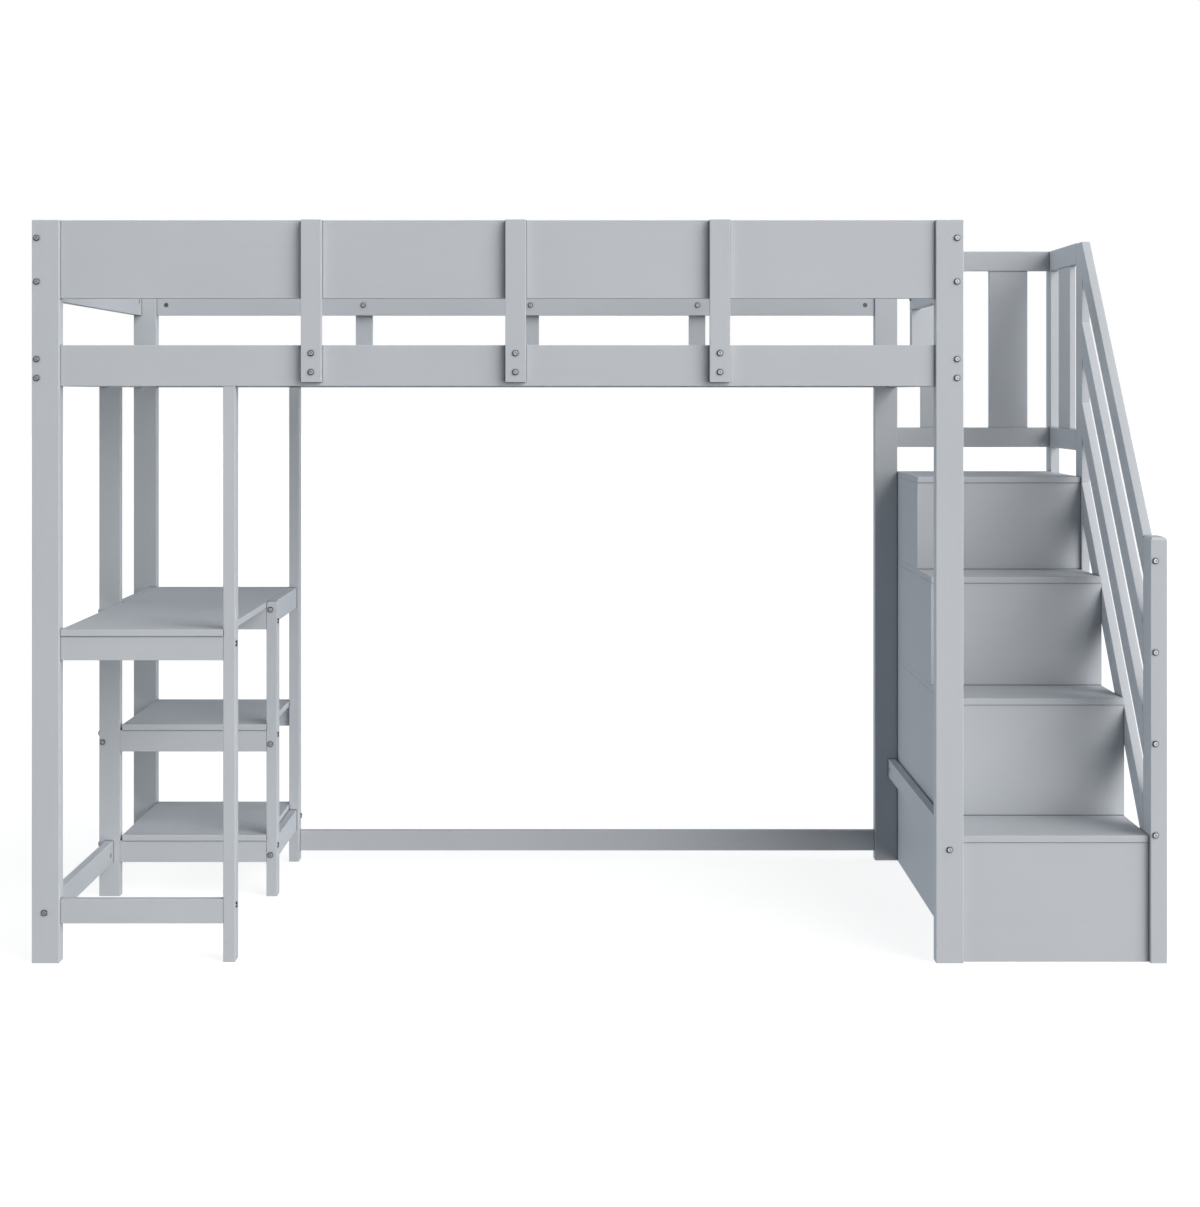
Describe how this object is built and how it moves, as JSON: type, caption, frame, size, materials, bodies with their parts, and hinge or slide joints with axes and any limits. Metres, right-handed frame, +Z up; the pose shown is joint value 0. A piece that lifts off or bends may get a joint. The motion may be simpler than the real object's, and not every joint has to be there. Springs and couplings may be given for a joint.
{
  "type": "loft bed with desk and storage stairs",
  "caption": "High twin loft bed over a desk with two shelves, reached by a box staircase with a sloped handrail and a railed landing.",
  "frame": {"origin": "on the floor, under the middle of the whole object", "axes": "+X along the bed towards the staircase, +Y from the open front to the back, +Z up"},
  "size_m": [2.5244, 1.104, 1.65],
  "materials": {
    "painted_wood": "satin paint, pale blue grey",
    "bolt_steel": "zinc plated",
    "nut_steel": "zinc plated",
    "dowel_wood": "bare beech"
  },
  "bodies": {
    "root": {"barrel_nuts": "nut_steel", "bed_slats": "painted_wood", "bolts": "bolt_steel", "desk_front_apron": "painted_wood", "desk_front_leg": "painted_wood", "desk_left_apron": "painted_wood", "desk_left_post": "painted_wood", "desk_middle_apron": "painted_wood", "desk_middle_leg": "painted_wood", "desk_rear_apron": "painted_wood", "desk_rear_leg": "painted_wood", "desk_right_apron": "painted_wood", "desk_top": "painted_wood", "dowels": "dowel_wood", "entry_post": "painted_wood", "front_bed_rail": "painted_wood", "front_floor_rail": "painted_wood", "front_guard": "painted_wood", "front_guard_slats": "painted_wood", "front_left_post": "painted_wood", "front_right_post": "painted_wood", "handrail_bar_1": "painted_wood", "handrail_bar_2": "painted_wood", "handrail_bar_3": "painted_wood", "handrail_bar_4": "painted_wood", "landing_post": "painted_wood", "landing_rear_rails": "painted_wood", "landing_side_rails": "painted_wood", "landing_slats": "painted_wood", "left_bed_rail": "painted_wood", "left_floor_rail": "painted_wood", "left_guard": "painted_wood", "lower_shelf": "painted_wood", "lower_shelf_aprons": "painted_wood", "lower_shelf_rail": "painted_wood", "lower_stair_post": "painted_wood", "rear_bed_rail": "painted_wood", "rear_floor_rail": "painted_wood", "rear_guard": "painted_wood", "rear_guard_slats": "painted_wood", "rear_left_post": "painted_wood", "rear_right_post": "painted_wood", "right_bed_rail": "painted_wood", "right_floor_rail": "painted_wood", "right_guard": "painted_wood", "riser_1": "painted_wood", "riser_2": "painted_wood", "riser_3": "painted_wood", "riser_4": "painted_wood", "slat_cleats": "painted_wood", "stair_back_panels": "painted_wood", "stair_dividers": "painted_wood", "stair_left_panels": "painted_wood", "tread_1": "painted_wood", "tread_2": "painted_wood", "tread_3": "painted_wood", "tread_4": "painted_wood", "upper_shelf": "painted_wood", "upper_shelf_aprons": "painted_wood", "upper_stair_post": "painted_wood"}
  },
  "joints": []
}
